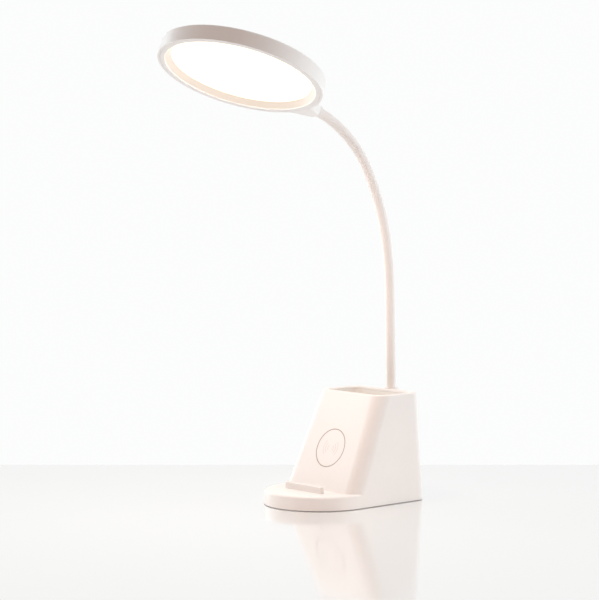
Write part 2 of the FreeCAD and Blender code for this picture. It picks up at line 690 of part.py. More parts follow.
def rounded_bar(name, wide, tall, deep, corner, place):
    """A bar along Y with round long edges; its place is the middle of its front face."""
    body = new_body(name)
    section = sketch(body, name + "_section", "0", "XZ_Plane")
    rectangle(section, "-(%s) / 2" % wide, "-(%s) / 2" % tall, "(%s) / 2" % wide, "(%s) / 2" % tall)
    pad(body, section, deep).Reversed = True
    limit = value(deep) / 2
    fillet(body, corner, lambda edge: edge.BoundBox.YLength > limit)
    body.Placement = place
    return body


INLET_BACK = back_y("PadThick + PlateThick + ControlRise + BoardThick + InletTall")
inlet_place = spot("InletSide", INLET_BACK + " - InletDeep", INLET_Z)
carved.append(rounded_bar("inlet_hole", "InletWide + 2 * InletFit", "InletTall + 2 * InletFit",
                          "InletDeep + Overrun", "InletRound", inlet_place))
node(cut("shell", fuse("posted_body", [hollow] + added), carved), "base_shell")

# Pen cup

cup_outer = cup_solid("cup_outer", "CupFloor", "BodyHeight - DeckThick", "CupWall")
cup_inner = cup_solid("cup_inner", "CupFloor + CupFloorThick", "BodyHeight", "0")
CUP_MIDDLE = "((%s + CupRim + %s - CupBackRim) / 2)" % (slope_y("BodyHeight"), back_y("BodyHeight"))
CUP_SCREWS = [("-CupPostSide", CUP_MIDDLE), ("CupPostSide", CUP_MIDDLE)]
CUP_BITE = "SmallBite - CupPostTop"
cup_holes = [cylinder("cup_hole_%d" % number, "SmallScrew + ScrewFit", CUP_BITE + " + BiteSpare / 2",
                      spot(x, y, "CupFloor")) for number, (x, y) in enumerate(CUP_SCREWS)]
node(cut("cup", cup_outer, [cup_inner] + cup_holes), "pen_cup")

# Bottom plate, pad, counterweight and screws

plate_parts = [sheet_piece("plate", SHELL_LOW, "PlateThick", "Wall + PlateFit")]
plate_holes = []
CONTROL_X = "(ControlWide / 2 - ControlHole)"
CONTROL_HALF = "(ControlDeep / 2 - ControlHole)"
CONTROL_SCREWS = [(x, "%s %s %s" % (CONTROL_Y, side, CONTROL_HALF))
                  for x in ("-" + CONTROL_X, CONTROL_X) for side in "+-"]
for number, (x, y) in enumerate(CONTROL_SCREWS):
    plate_parts.append(cylinder("board_post_%d" % number, "PostRadius", "ControlRise + PlateThick",
                                spot(x, y, SHELL_LOW)))
    low = "%s + BoardThick - SmallBite - BiteSpare" % CONTROL_Z
    plate_holes.append(cylinder("board_post_hole_%d" % number, "SmallScrew + ScrewFit", "SmallBite",
                                spot(x, y, low)))
for number, (x, y) in enumerate(CUP_SCREWS):
    plate_parts.append(cylinder("cup_post_%d" % number, "CupPostRadius", "CupFloor - PadThick",
                                spot(x, y, SHELL_LOW)))
    plate_holes.append(cylinder("cup_post_bore_%d" % number, "CupPostBore", "CupFloor - CupPostTop",
                                spot(x, y, "0")))
    plate_holes.append(cylinder("cup_post_hole_%d" % number, "SmallScrew + ScrewFit", "CupFloor",
                                spot(x, y, "PadThick")))
for number, (x, y) in enumerate(BASE_SCREWS + WEIGHT_SCREWS):
    place = spot(x, y, "0")
    plate_holes.append(cylinder("plate_hole_%d" % number, "ScrewRadius + ScrewFit", "CupFloor", place))
    plate_holes.append(cylinder("plate_sink_%d" % number, "ScrewHead + HeadFit", SCREW_HEAD_Z, place))
node(cut("bottom", fuse("bottom_whole", plate_parts), plate_holes), "bottom_plate")
node(sheet_piece("pad", "0", "PadThick", "PadInset"), "base_pad")

weight_place = spot("0", "-WeightAhead", PLATE_TOP)
weight_holes = [cylinder("weight_hole_%d" % number, "ScrewRadius + ScrewFit",
                         "%s + ScrewBite + BiteSpare" % SCREW_HEAD_Z, spot(x, y, "0"))
                for number, (x, y) in enumerate(WEIGHT_SCREWS)]
weight_block = block("weight_block", "WeightWidth", "WeightDepth", "WeightThick", weight_place)
node(cut("weight", weight_block, weight_holes), "counterweight")
base_screw_set = [base_screw("base_screw_%d" % number, spot(x, y, SCREW_HEAD_Z))
                  for number, (x, y) in enumerate(BASE_SCREWS + WEIGHT_SCREWS)]
node(group("base_screw_set", base_screw_set), "base_screws")

# Charging stack behind the slope, from the ring inward

node(tube("ring", "RingRadius + RingWidth / 2", "RingRadius - RingWidth / 2", "RingDepth + RingProud",
          groove_place), "charging_ring")
coil_place = slope_frame * spot("0", "0", "-(Wall + CoilGap + CoilThick)")
node(tube("coil", "CoilOuter", "CoilInner", "CoilThick", coil_place), "charging_coil")
ferrite_place = slope_frame * spot("0", "0", HOLDER_TOP)
node(block("ferrite", "FerriteSide", "FerriteSide", "FerriteThick", ferrite_place), "ferrite_sheet")

holder_place = slope_frame * spot("0", "0", HOLDER_TOP + " - HolderThick")
holder_parts = [block("holder_block", "HolderSide", "HolderSide", "HolderThick", holder_place)]
holder_holes = []
CHARGER_X = "(ChargerWide / 2 - ControlHole)"
CHARGER_Y = "(ChargerTall / 2 - ControlHole)"
CHARGER_SCREWS = [(x, y) for x in ("-" + CHARGER_X, CHARGER_X) for y in ("-" + CHARGER_Y, CHARGER_Y)]
for number, (x, y) in enumerate(HOLDER_CORNERS):
    place = holder_place * spot(x, y, "-Overrun")
    holder_holes.append(cylinder("corner_hole_%d" % number, "SmallScrew + ScrewFit",
                                 "HolderThick + 2 * Overrun", place))
for number, (x, y) in enumerate(CHARGER_SCREWS):
    place = slope_frame * spot(x, y, CHARGER_TOP)
    tall = "HolderPost + HolderThick / 2"
    holder_parts.append(cylinder("charger_post_%d" % number, "PostRadius", tall, place))
    hole = "SmallBite - BoardThick + BiteSpare"
    holder_holes.append(cylinder("charger_post_hole_%d" % number, "SmallScrew + ScrewFit", hole, place))
node(cut("holder", fuse("holder_whole", holder_parts), holder_holes), "coil_holder")

charger_low = slope_frame * spot("0", "0", CHARGER_TOP + " - BoardThick")
BOARD_HOLE = "BoardThick + 2 * Overrun"
charger_holes = [cylinder("charger_hole_%d" % number, "SmallScrew + ScrewFit", BOARD_HOLE,
                          charger_low * spot(x, y, "-Overrun"))
                 for number, (x, y) in enumerate(CHARGER_SCREWS)]
charger_whole = fuse("charger_whole", [
    block("charger_block", "ChargerWide", "ChargerTall", "BoardThick", charger_low),
    block("charger_chip", "ChipSide", "ChipSide", "ChipThick + BoardThick / 2",
          charger_low * spot("0", "0", "-ChipThick"))])
node(cut("charger", charger_whole, charger_holes), "charger_board")

# Control board, power inlet and touch board

control_holes = [cylinder("control_hole_%d" % number, "SmallScrew + ScrewFit", BOARD_HOLE,
                          spot(x, y, CONTROL_Z + " - Overrun"))
                 for number, (x, y) in enumerate(CONTROL_SCREWS)]
control_low = spot("0", CONTROL_Y, CONTROL_Z)
control_whole = fuse("control_whole", [
    block("control_block", "ControlWide", "ControlDeep", "BoardThick", control_low),
    block("control_chip", "ChipSide", "ChipSide", "ChipThick + BoardThick", control_low)])
node(cut("control", control_whole, control_holes), "control_board")

inlet_outside = rounded_bar("inlet_outside", "InletWide", "InletTall", "InletDeep", "InletRound", inlet_place)
inlet_inside = rounded_bar("inlet_inside", "InletWide - 2 * InletWall", "InletTall - 2 * InletWall",
                           "InletDeep", "InletRound - InletWall", inlet_place * spot("0", "InletFloor", "0"))
inlet_can = cut("inlet_can", inlet_outside, [inlet_inside])
tongue_place = inlet_place * spot("0", "(InletDeep - TongueShort) / 2", "-TongueThick / 2")
tongue = block("inlet_tongue", "TongueWide", "InletDeep - TongueShort", "TongueThick", tongue_place)
node(fuse("inlet", [inlet_can, tongue]), "power_inlet")
node(block("touch", "TouchWide", "TouchDeep", "TouchThick",
           spot("0", "TouchFront - FootDepth / 2", "LedgeHeight - Wall - TouchThick")), "touch_sensor_board")

flip = Placement(Vector(0, 0, 0), Rotation(RIGHT, math.degrees(math.pi)))
small_places = [slope_frame * spot(x, y, HOLDER_TOP + " - HolderThick") for x, y in HOLDER_CORNERS]
small_places += [slope_frame * spot(x, y, CHARGER_TOP + " - BoardThick") for x, y in CHARGER_SCREWS]
small_places += [spot(x, y, CONTROL_Z + " + BoardThick") * flip for x, y in CONTROL_SCREWS]
small_places += [spot(x, y, "CupFloor - CupPostTop") for x, y in CUP_SCREWS]
node(group("small_screw_set", [small_screw("small_screw_%d" % number, place)
                               for number, place in enumerate(small_places)]), "small_screws")

# Arm socket with its fixings

socket_low = spot("0", COLUMN_Y, SOCKET_LOW)
SOCKET_TALL = "(BodyHeight - SocketDrop - %s)" % SOCKET_LOW
socket_whole = fuse("socket_whole", [
    cylinder("socket_outside", "SocketBore + SocketWall", SOCKET_TALL, socket_low),
    cylinder("socket_tail", "TailRadius", "TailLength + SocketFloor",
             spot("0", COLUMN_Y, SOCKET_LOW + " - TailLength"))])
node(cut("socket", socket_whole, [
    cylinder("socket_inside", "SocketBore", "BodyHeight",
             spot("0", COLUMN_Y, SOCKET_LOW + " + SocketFloor")),
    cylinder("socket_lead_bore", "HoseBore", "BodyHeight", spot("0", COLUMN_Y, "0"))]), "arm_socket")
washer_low = spot("0", COLUMN_Y, "ShelfHeight - WasherThick")
node(tube("arm_washer_disc", "WasherRadius", "TailRadius + SocketFit", "WasherThick", washer_low),
     "arm_washer")
nut_low = spot("0", COLUMN_Y, "ShelfHeight - WasherThick - NutThick")
nut_bore = cylinder("arm_nut_bore", "TailRadius + SwivelFit", "BodyHeight", spot("0", COLUMN_Y, "0"))
arm_hexagon = hexagon("arm_hexagon", "NutAcross", "NutThick", nut_low)
node(cut("arm_nut_ring", arm_hexagon, [nut_bore]), "arm_nut")
collar_low = spot("0", COLUMN_Y, "BodyHeight")
node(tube("arm_collar_ring", "CollarRadius", "SocketBore", "CollarHeight", collar_low), "arm_collar")


# Gooseneck: a short stub and seven segments, each from one ball joint to the next

def rod(name, radius, length, turn, frame):
    """A round rod along the frame's Z that bends evenly to the front by a turn in degrees."""
    if not value(turn):
        return cylinder(name, radius, length, frame)
    made = doc.addObject("Part::Torus", name)
    bend = "(%s) / (%s) * 180 / pi" % (length, turn)
    bind(made, Radius1=bend, Radius2=radius, Angle3=turn)
    made.Placement = frame * spot("0", "-(%s)" % bend, "0")
    made.Placement.Rotation = frame.Rotation * Rotation(BACK, UP, RIGHT, "ZXY")
    return made


def ball(name, radius, frame):
    made = doc.addObject("Part::Sphere", name)
    bind(made, Radius=radius)
    made.Placement = Placement(frame.Base, Rotation())
    return made


def rod_end(length, turn, frame):
    """The frame at the far end of a rod."""
    if not value(turn):
        return frame * spot("0", "0", length)
    bend = "((%s) / (%s) * 180 / pi)" % (length, turn)
    moved = frame * spot("0", "-%s * (1 - cos(%s))" % (bend, turn), "%s * sin(%s)" % (bend, turn))
    moved.Rotation = frame.Rotation * Rotation(RIGHT, value(turn))
    return moved


GROOVE_BALL = "sqrt(NeckRadius ^ 2 + GrooveHalf ^ 2)"
LEAD_BALL = "sqrt(LeadRadius ^ 2 + LeadGapHalf ^ 2)"
JOINT_BALL = "(%s - BallFit)" % GROOVE_BALL
NECK_TURNS = ["0", "0", "NeckTurnC", "NeckTurnD", "NeckTurnE", "NeckTurnF", "NeckTurnG"]
LAST = len(NECK_TURNS)


def sleeve(name, length, turn, low, high, open_low, open_high):
    """The outer tube, with a round hollow in each end that faces a joint."""
    tools = [rod(name + "_bore", "HoseRadius + HoseFit", length, turn, low)]
    if open_low:
        tools.append(ball(name + "_low", GROOVE_BALL, low))
    if open_high:
        tools.append(ball(name + "_high", GROOVE_BALL, high))
    return cut(name + "_tube", rod(name + "_rod", "NeckRadius", length, turn, low), tools)


def hose(name, length, turn, low, high, open_low, with_ball):
    """The inner tube; the ball of the joint above belongs to it."""
    parts = [rod(name + "_rod", "HoseRadius", length, turn, low)]
    tools = [rod(name + "_bore", "HoseBore", length, turn, low)]
    if open_low:
        tools.append(ball(name + "_low", GROOVE_BALL, low))
    if with_ball:
        parts.append(ball(name + "_ball", JOINT_BALL, high))
        mouth = doc.addObject("Part::Cone", name + "_mouth")
        bind(mouth, Radius1="HoseBore", Radius2="FunnelRadius", Height="NeckRadius")
        mouth.Placement = high
        tools.append(mouth)
    whole = fuse(name + "_whole", parts) if with_ball else parts[0]
    return cut(name + "_tube", whole, tools)


def lead(name, length, turn, low, high, open_low, open_high, tail=None):
    """The lead in the hose; a tail runs on from its far end."""
    whole = rod(name + "_rod", "LeadRadius", length, turn, low)
    if tail:
        whole = fuse(name + "_long", [whole, cylinder(name + "_tail", "LeadRadius", tail, high)])
    tools = []
    if open_low:
        tools.append(ball(name + "_low", LEAD_BALL, low))
    if open_high:
        tools.append(ball(name + "_high", LEAD_BALL, high))
    return cut(name + "_cut", whole, tools)


STUB_LOW = "(%s + SocketFloor)" % SOCKET_LOW
STUB_LENGTH = "(BodyHeight + NeckRise - %s)" % STUB_LOW
LEAD_LOW = "(%s - TailLength - LeadTail)" % SOCKET_LOW
stub_low = spot("0", COLUMN_Y, STUB_LOW)
joint_place = spot("0", COLUMN_Y, "BodyHeight + NeckRise")
node(sleeve("stub_sleeve", STUB_LENGTH, "0", stub_low, joint_place, False, True), "sleeve_base")
node(hose("stub_hose", STUB_LENGTH, "0", stub_low, joint_place, False, True), "hose_base")
node(lead("stub_lead", "BodyHeight + NeckRise - %s" % LEAD_LOW, "0", spot("0", COLUMN_Y, LEAD_LOW),
          joint_place, False, True), "lead_base")

joints = []
here = Placement(joint_place.Base, Rotation(RIGHT, value("NeckLean")))
for number, turn in enumerate(NECK_TURNS, start=1):
    there = rod_end("NeckPitch", turn, here)
    joints.append(here)
    goes_on = number < LAST
    tail = None if goes_on else "FerruleLength + SpigotLength + LeadTail"
    sleeve_part = sleeve("sleeve_%d_part" % number, "NeckPitch", turn, here, there, True, goes_on)
    hose_part = hose("hose_%d_part" % number, "NeckPitch", turn, here, there, True, goes_on)
    lead_part = lead("lead_%d_part" % number, "NeckPitch", turn, here, there, True, goes_on, tail)
    node(sleeve_part, "sleeve_%d" % number)
    node(hose_part, "hose_%d" % number)
    node(lead_part, "lead_%d" % number)
    here = there
neck_end = here

# Collar ring and swivel at the gooseneck's end

node(tube("ferrule", "FerruleRadius", "SpigotRadius + SwivelFit", "FerruleLength", neck_end), "neck_collar")
node(tube("spigot", "SpigotRadius", "HoseBore", "FerruleLength + SpigotLength", neck_end), "swivel_spigot")
SWIVEL_WALL_END = "(FerruleLength + SwivelGap + SwivelWall)"
washer_place = neck_end * spot("0", "0", SWIVEL_WALL_END + " + SwivelFit")
node(tube("swivel_ring", "SwivelWasher", "SpigotRadius + SwivelFit", "SwivelWasherThick", washer_place),
     "swivel_washer")
nut_place = washer_place * spot("0", "0", "SwivelWasherThick")
nut_hole = cylinder("swivel_nut_hole", "SpigotRadius + SwivelFit", "SwivelNutThick + 2 * Overrun",
                    nut_place * spot("0", "0", "-Overrun"))
swivel_hexagon = hexagon("swivel_hexagon", "SwivelNut", "SwivelNutThick", nut_place)
node(cut("swivel_nut_cut", swivel_hexagon, [nut_hole]), "swivel_nut")

# Light head; its frame has the face's middle at the origin and the back of the head up

DISC_MIDDLE = "(HeadNeck + HeadRadius)"
NECK_FACE = "(%s - FerruleLength - SwivelGap)" % DISC_MIDDLE
head_frame = neck_end * Placement(Vector(0, 0, 0), Rotation(RIGHT, -math.degrees(math.pi / 2)))
head_frame = head_frame * Placement(Vector(0, 0, 0), Rotation(FRONT, value("HeadRoll")))
head_frame = head_frame * spot("0", "-" + DISC_MIDDLE, "-HeadBelow")

disc = new_body("head_disc")
disc_outline = sketch(disc, "disc_outline")
circle(disc_outline, "HeadRadius")
pad(disc, disc_outline, "HeadThick")
fillet(disc, "HeadRound", lies_at("HeadThick"))
disc.Placement = head_frame

NECK_ROOT = "(sqrt(HeadRadius ^ 2 - NeckRootHalf ^ 2) - NeckSink)"
NECK_LIFT = "(HeadBelow - NeckEndDown)"
fairing = new_body("head_neck")
fairing_outline = sketch(fairing, "fairing_outline")
outline(fairing_outline, [("-NeckRootHalf", NECK_ROOT), ("NeckRootHalf", NECK_ROOT),
                          ("NeckEndHalf", NECK_FACE), ("-NeckEndHalf", NECK_FACE)])
pad(fairing, fairing_outline, "HeadBelow + NeckEndUp")
lean(fairing, "atan(%s / (%s - %s))" % (NECK_LIFT, NECK_FACE, NECK_ROOT), DOWN, neutral=FRONT)
fillet(fairing, "NeckRound", lambda edge: edge.BoundBox.YLength > value("HeadNeck / 2"))
fairing.Placement = head_frame

along_neck = head_frame * spot("0", NECK_FACE, "HeadBelow")
along_neck.Rotation = head_frame.Rotation * Rotation(RIGHT, math.degrees(math.pi / 2))
nut_room = cylinder("nut_room", "SwivelRoom", NECK_FACE + " - SwivelWall - HeadRadius + 2 * HeadWall",
                    along_neck * spot("0", "0", "SwivelWall"))
spigot_bore = cylinder("spigot_bore", "SpigotRadius + SwivelFit", "SwivelWall + 2 * Overrun",
                       along_neck * spot("0", "0", "-Overrun"))
face_room = cylinder("face_room", "HeadRadius - HeadWall", "HeadThick - HeadWall + Overrun",
                     head_frame * spot("0", "0", "-Overrun"))

PLATE_BACK = "(LightBack + BackplateThick)"


def round_places(count, radius, height):
    """Evenly spaced places on a circle round the head's axis, X outward."""
    places = []
    for index in range(count):
        turned = Placement(Vector(0, 0, 0), Rotation(UP, math.degrees(2 * math.pi * index / count)))
        places.append(head_frame * turned * spot(radius, "0", height))
    return places


hollow_head = cut("hollow_head", fuse("closed_head", [disc, fairing]), [face_room, nut_room, spigot_bore])
tiny_bosses = []
tiny_holes = []
for number, place in enumerate(round_places(PLATE_SCREW_COUNT, "PlateScrewCircle", PLATE_BACK)):
    tall = "HeadThick - HeadWall / 2 - %s" % PLATE_BACK
    tiny_bosses.append(cylinder("tiny_boss_%d" % number, "TinyBoss", tall, place))
    deep = "TinyBite - BackplateThick + BiteSpare / 2"
    tiny_holes.append(cylinder("tiny_hole_%d" % number, "TinyRadius + TinyFit", deep, place))
node(cut("housing", fuse("bossed_head", [hollow_head] + tiny_bosses), tiny_holes), "head_housing")

BEZEL_OUTER = "(HeadRadius - HeadWall - BezelFit)"
CONE_WALL = "(BezelWall * sqrt((FaceRadius - LightRadius) ^ 2 + RecessDepth ^ 2) / RecessDepth)"
CONE_STEP = "((FaceRadius - LightRadius) * BezelWall / RecessDepth)"
bezel = new_body("bezel")
bezel_section = sketch(bezel, "bezel_section", "0", "XZ_Plane")
FLANGE_INNER = BEZEL_OUTER + " - BezelWall"
outline(bezel_section, [
    ("FaceRadius", "0"), (BEZEL_OUTER, "0"), (BEZEL_OUTER, "BezelTall"), (FLANGE_INNER, "BezelTall"),
    (FLANGE_INNER, "BezelWall"), ("FaceRadius - %s + %s" % (CONE_STEP, CONE_WALL), "BezelWall"),
    ("LightRadius + " + CONE_WALL, "RecessDepth"), ("LightRadius", "RecessDepth")])
spin(bezel, bezel_section)
bezel.Placement = head_frame
node(bezel, "head_bezel")

node(cylinder("diffuser_disc", "DiffuserRadius", "DiffuserThick", head_frame * spot("0", "0", "RecessDepth")),
     "diffuser")
guide_place = head_frame * spot("0", "0", "RecessDepth + DiffuserThick")
node(cylinder("guide_disc", "DiffuserRadius", "GuideThick", guide_place), "light_guide")
reflector_place = head_frame * spot("0", "0", "LightBack - ReflectorThick")
node(cylinder("reflector_disc", "DiffuserRadius", "ReflectorThick", reflector_place), "reflector")
backing_low = head_frame * spot("0", "0", "LightBack")
backing = cylinder("backing_disc", "BackplateRadius", "BackplateThick", backing_low)
backing_places = round_places(PLATE_SCREW_COUNT, "PlateScrewCircle", "LightBack - Overrun")
backing_holes = [cylinder("backing_hole_%d" % number, "TinyRadius + TinyFit", "BackplateThick + 2 * Overrun",
                          place) for number, place in enumerate(backing_places)]
node(cut("backing", backing, backing_holes), "backing_plate")
strip_place = head_frame * spot("0", "0", "LightBack - StripTall")
node(tube("strip", "StripInner + StripThick", "StripInner", "StripTall", strip_place), "led_strip")
LAMP_AT = "sqrt(StripInner ^ 2 - (LampWide / 2) ^ 2) - LampThick / 2"
lamp_height = "RecessDepth + DiffuserThick + (GuideThick - LampTall) / 2"
lamps = [block("lamp_%d" % number, "LampThick", "LampWide", "LampTall", place)
         for number, place in enumerate(round_places(LAMP_COUNT, LAMP_AT, lamp_height))]
node(group("lamps", lamps), "led_emitters")
tiny_places = round_places(PLATE_SCREW_COUNT, "PlateScrewCircle", "LightBack")
tiny_set = [screw("tiny_screw_%d" % number, "TinyRadius", "TinyBite", "TinyHead", "TinyHeadThick", place)
            for number, place in enumerate(tiny_places)]
node(group("tiny_screws", tiny_set), "backing_plate_screws")

# Every piece is checked before it is written

doc.recompute()
for item in doc.Objects:
    if "Invalid" in item.State or "Error" in item.State:
        raise RuntimeError("%s is %s" % (item.Name, item.State))
os.makedirs("parts", exist_ok=True)
for name, item in nodes.items():
    if item.Shape.isNull() or not item.Shape.isValid():
        raise RuntimeError("%s has no valid shape" % name)
    item.Shape.exportStep("parts/%s.step" % name)
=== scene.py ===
import math

import bmesh
import bpy
from mathutils import Matrix, Vector


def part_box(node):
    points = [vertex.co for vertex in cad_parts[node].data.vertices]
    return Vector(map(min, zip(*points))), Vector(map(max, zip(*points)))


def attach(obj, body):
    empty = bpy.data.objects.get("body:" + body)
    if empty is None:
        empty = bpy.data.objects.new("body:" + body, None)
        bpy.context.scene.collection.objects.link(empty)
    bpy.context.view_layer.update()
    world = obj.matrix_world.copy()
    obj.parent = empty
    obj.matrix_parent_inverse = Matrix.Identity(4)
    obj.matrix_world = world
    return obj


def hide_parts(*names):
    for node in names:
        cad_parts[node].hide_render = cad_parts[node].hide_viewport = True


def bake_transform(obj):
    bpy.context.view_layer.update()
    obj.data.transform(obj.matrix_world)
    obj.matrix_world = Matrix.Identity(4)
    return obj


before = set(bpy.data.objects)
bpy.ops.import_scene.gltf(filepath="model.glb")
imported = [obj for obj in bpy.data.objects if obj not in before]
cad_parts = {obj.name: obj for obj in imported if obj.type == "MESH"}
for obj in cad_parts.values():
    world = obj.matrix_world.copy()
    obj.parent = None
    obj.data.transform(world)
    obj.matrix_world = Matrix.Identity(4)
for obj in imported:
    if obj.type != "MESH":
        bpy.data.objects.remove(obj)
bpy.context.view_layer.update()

scene = bpy.context.scene
scene.view_settings.view_transform = "Standard"

# Camera: the photograph's viewpoint, a long lens just below the light head that looks slightly down

AZIMUTH = math.radians(49.42)
PITCH = math.radians(4.07)
EYE = Vector((1.79852, -1.58850, 0.37385))
LENS_MM = 144
SENSOR_MM = 36
AHEAD = Vector((-math.sin(AZIMUTH), math.cos(AZIMUTH), 0))
ASIDE = Vector((math.cos(AZIMUTH), math.sin(AZIMUTH), 0))
UP = Vector((0, 0, 1))

camera_data = bpy.data.cameras.new("camera")
camera_data.sensor_fit = "VERTICAL"
camera_data.sensor_height = SENSOR_MM
camera_data.lens = LENS_MM
camera = bpy.data.objects.new("camera", camera_data)
scene.collection.objects.link(camera)
scene.camera = camera
camera.location = EYE
forward = AHEAD * math.cos(PITCH) - UP * math.sin(PITCH)
camera.rotation_euler = forward.to_track_quat("-Z", "Y").to_euler()


# Light levels: strength and colour of each

FLOOR_WHITE = (0.95, 0.95, 0.95)
FLOOR_UNDER = (0.45, 0.45, 0.45)
FLOOR_POLISH = (0.985, 0.985, 0.98)
FLOOR_MIRROR = 0.68
FLOOR_GLOW = 0.40
SURROUND_WHITE = (0.97, 0.98, 0.975)
FRONT_AMBIENT = (0.40, 0.275, 0.22)
BACK_AMBIENT = (0.865, 0.88, 0.89)
LAMP_GLOW = 2.0
LAMP_COLOUR = (1.0, 0.72, 0.38)
BEAM_POWER, BEAM_COLOUR = 1.0, (1.0, 0.915, 0.88)
LEFT_POWER, LEFT_COLOUR = 17.0, (0.80, 0.94, 1.0)
RIGHT_POWER, RIGHT_COLOUR = 20.5, (0.80, 0.95, 1.02)

# Light places and sizes, in metres

SOFTBOX_SIZE = (1.4, 1.5)
SOFTBOX_HEIGHT = UP * 0.42
LEFT_PLACE = ASIDE * -1.65 + AHEAD * 1.2 + SOFTBOX_HEIGHT
RIGHT_PLACE = ASIDE * 1.8 + SOFTBOX_HEIGHT
AIM = Vector((0, -0.02, 0.2))
BEAM_SIZE = (0.136, 0.136)
BEAM_BELOW_OPAL = 0.006

# Texture sizes in features per metre, and depths in metres

WAVES, WAVE_DEPTH = 22.0, 0.00002
MOTTLES = 260.0
LINES, LINE_DEPTH = 900.0, 0.000008
STAINS = 120.0
OPAL_WAVES = 30.0
OPAL_PRISMS, PRISM_DEPTH = 3000.0, 0.00001
FLOOR_WAVES = 1.5
FLOOR_SMEARS = 60.0

# The share of its colour that a finish keeps in its darker spots

SPECK_SHARE = 0.965
STAIN_SHARE = 0.75
OPAL_SHARE = 0.97
FLOOR_SHARE = 0.98

# Opal and floor surfaces

OPAL_COLOUR = (0.92, 0.89, 0.85)
OPAL_ROUGH = 0.35
FLOOR_ROUGH = 0.6
MIRROR_ROUGH = (0.10, 0.12)

# Sockets of the colour mix node by number, because several of them share a name

MIX_FACTOR, MIX_FIRST, MIX_SECOND, MIX_RESULT = 0, 6, 7, 2


# Node helpers

def node_of(tree, kind):
    return next(item for item in tree.nodes if item.type == kind)


def material(name):
    made = bpy.data.materials.new(name)
    made.use_nodes = True
    return made, made.node_tree, node_of(made.node_tree, "BSDF_PRINCIPLED")


def add(tree, kind, **values):
    made = tree.nodes.new(kind)
    for key, value in values.items():
        setattr(made, key, value)
    return made


def object_place(tree):
    return add(tree, "ShaderNodeTexCoord").outputs["Object"]


def noise(tree, coordinates, scale, detail, rough=0.5):
    made = add(tree, "ShaderNodeTexNoise")
    made.inputs["Scale"].default_value = scale
    made.inputs["Detail"].default_value = detail
    made.inputs["Roughness"].default_value = rough
    tree.links.new(coordinates, made.inputs["Vector"])
    return made.outputs["Fac"]


def spread(tree, source, low, high, from_low=0.3, from_high=0.7):
    made = add(tree, "ShaderNodeMapRange")
    tree.links.new(source, made.inputs["Value"])
    for key, value in (("From Min", from_low), ("From Max", from_high), ("To Min", low), ("To Max", high)):
        made.inputs[key].default_value = value
    return made.outputs["Result"]


def mix(tree, factor, first, second):
    """Mix two colours; each of the three is a socket or, for a colour, its three parts."""
    made = add(tree, "ShaderNodeMix", data_type="RGBA")
    for value, number in ((factor, MIX_FACTOR), (first, MIX_FIRST), (second, MIX_SECOND)):
        if isinstance(value, bpy.types.NodeSocket):
            tree.links.new(value, made.inputs[number])
        else:
            made.inputs[number].default_value = (*value, 1.0)
    return made.outputs[MIX_RESULT]


def mix_shaders(tree, factor, first, second):
    made = add(tree, "ShaderNodeMixShader")
    if isinstance(factor, bpy.types.NodeSocket):
        tree.links.new(factor, made.inputs[0])
    else:
        made.inputs[0].default_value = factor
    tree.links.new(first, made.inputs[1])
    tree.links.new(second, made.inputs[2])
    return made.outputs[0]


def scaled(colour, share):
    return tuple(share * part for part in colour)


def bump(tree, shader, layers):
    """Stack bumps: pairs of height output and depth in metres."""
    last = None
    for height, depth in layers:
        made = add(tree, "ShaderNodeBump")
        made.inputs["Strength"].default_value = 1.0
        made.inputs["Distance"].default_value = depth
        tree.links.new(height, made.inputs["Height"])
        if last:
            tree.links.new(last, made.inputs["Normal"])
        last = made.outputs["Normal"]
    tree.links.new(last, shader.inputs["Normal"])


def moulded(name, colour, shade, rough, grain, depth):
    """Moulded plastic or rubber: fine grain, slow waves in the surface, a little change in tone and gloss."""
    made, tree, shader = material(name)
    place = object_place(tree)
    slow = noise(tree, place, WAVES, detail=2.0)
    mottle = noise(tree, place, MOTTLES, detail=4.0, rough=0.6)
    fine = noise(tree, place, grain, detail=2.0, rough=0.7)
    tone = mix(tree, spread(tree, slow, low=0.0, high=0.6), colour, shade)
    specks = spread(tree, mottle, low=0.0, high=0.5, from_low=0.45, from_high=0.75)
    tree.links.new(mix(tree, specks, tone, scaled(colour, SPECK_SHARE)), shader.inputs["Base Color"])
    gloss = spread(tree, mottle, low=rough - 0.05, high=rough + 0.06)
    tree.links.new(gloss, shader.inputs["Roughness"])
    bump(tree, shader, [(slow, WAVE_DEPTH), (fine, depth)])
    return made


def metal(name, colour, rough, stretch):
    """Turned or drawn metal with fine lines and stains."""
    made, tree, shader = material(name)
    place = object_place(tree)
    mapping = add(tree, "ShaderNodeMapping")
    mapping.inputs["Scale"].default_value = stretch
    tree.links.new(place, mapping.inputs["Vector"])
    lines = noise(tree, mapping.outputs["Vector"], LINES, detail=3.0)
    stain = spread(tree, noise(tree, place, STAINS, detail=4.0), low=0.0, high=0.7)
    tree.links.new(mix(tree, stain, colour, scaled(colour, STAIN_SHARE)), shader.inputs["Base Color"])
    tree.links.new(spread(tree, lines, low=rough - 0.08, high=rough + 0.1), shader.inputs["Roughness"])
    shader.inputs["Metallic"].default_value = 1.0
    bump(tree, shader, [(lines, LINE_DEPTH)])
    return made


def glowing(name):
    """The opal light: warm white, a little uneven, with a fine prism pattern."""
    made, tree, shader = material(name)
    place = object_place(tree)
    slow = spread(tree, noise(tree, place, OPAL_WAVES, detail=2.0), low=0.0, high=1.0)
    fine = noise(tree, place, OPAL_PRISMS, detail=2.0)
    shader.inputs["Base Color"].default_value = (*OPAL_COLOUR, 1.0)
    glow = mix(tree, slow, LAMP_COLOUR, scaled(LAMP_COLOUR, OPAL_SHARE))
    tree.links.new(glow, shader.inputs["Emission Color"])
    shader.inputs["Emission Strength"].default_value = LAMP_GLOW
    shader.inputs["Roughness"].default_value = OPAL_ROUGH
    bump(tree, shader, [(fine, PRISM_DEPTH)])
    return made


# Moulded finishes: colour, shade in the waves, roughness, grains per metre and their depth in metres

